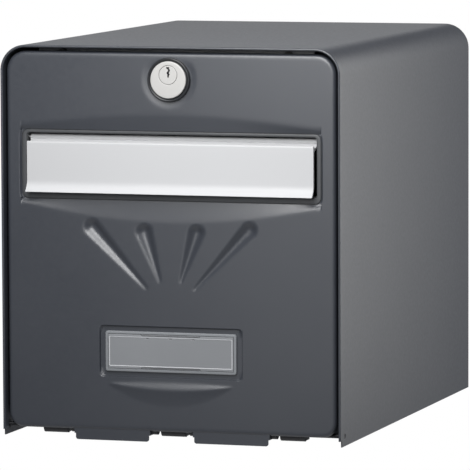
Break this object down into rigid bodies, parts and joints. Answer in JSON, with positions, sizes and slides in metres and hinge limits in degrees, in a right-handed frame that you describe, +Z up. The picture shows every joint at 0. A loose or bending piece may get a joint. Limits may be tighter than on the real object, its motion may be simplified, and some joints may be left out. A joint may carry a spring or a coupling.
{
  "type": "wall mounted mailbox",
  "caption": "Wall mounted letter box: deep bent-steel casing with rounded shoulders, drop-down locking front door, hinged mail flap and name plate.",
  "frame": {"origin": "middle of the four wall screw holes, on the rear face of the back panel", "axes": "+X to the right as seen from the front, +Y back into the wall, +Z up; the door is at the -Y end"},
  "size_m": [0.285, 0.4045, 0.3184],
  "materials": {
    "casing_paint": "fine textured anthracite powder coat",
    "door_paint": "fine textured anthracite powder coat",
    "zinc": "zinc plated",
    "flap_metal": "satin anodised",
    "lock_metal": "satin nickel plated",
    "black_gloss": "polished",
    "black_moulding": "matt moulded",
    "rubber": "matt",
    "frosted_plastic": "frosted translucent",
    "clear_plastic": "clear",
    "paper": "plain card"
  },
  "bodies": {
    "casing": {"outer_shell": "casing_paint", "back_panel": "casing_paint", "floor_panel": "casing_paint", "strike_rail": "casing_paint", "door_buffers": "rubber", "hinge_rail": "casing_paint", "hinge_block_left": "black_moulding", "hinge_block_middle": "black_moulding", "hinge_block_right": "black_moulding", "block_screws": "zinc", "hinge_rod": "zinc", "rod_clips": "zinc"},
    "door": {"door_panel": "door_paint", "hinge_bracket_left": "door_paint", "hinge_bracket_right": "door_paint", "hinge_bushes": "black_moulding", "slot_frame": "door_paint", "flap_axle": "zinc", "flap_buffers": "rubber", "lock_body": "lock_metal", "lock_bezel": "black_gloss", "lock_nut": "lock_metal", "label_holder": "frosted_plastic", "label_card": "paper", "label_window": "clear_plastic"},
    "flap": {"flap_panel": "flap_metal"},
    "plug": {"lock_plug": "lock_metal", "lock_cam": "zinc", "cam_washer": "zinc", "cam_screw": "zinc"}
  },
  "joints": [
    {"name": "door_hinge", "type": "hinge", "parent": "casing", "child": "door", "pos_m": [0, -0.388, -0.1569], "axis": [1, 0, 0], "range_deg": [0, 95]},
    {"name": "flap_hinge", "type": "hinge", "parent": "door", "child": "flap", "pos_m": [0, -0.3875, 0.0774], "axis": [-1, 0, 0], "range_deg": [0, 45]},
    {"name": "lock_turn", "type": "hinge", "parent": "door", "child": "plug", "pos_m": [0, -0.39, 0.1294], "axis": [0, -1, 0], "range_deg": [0, 90]}
  ]
}
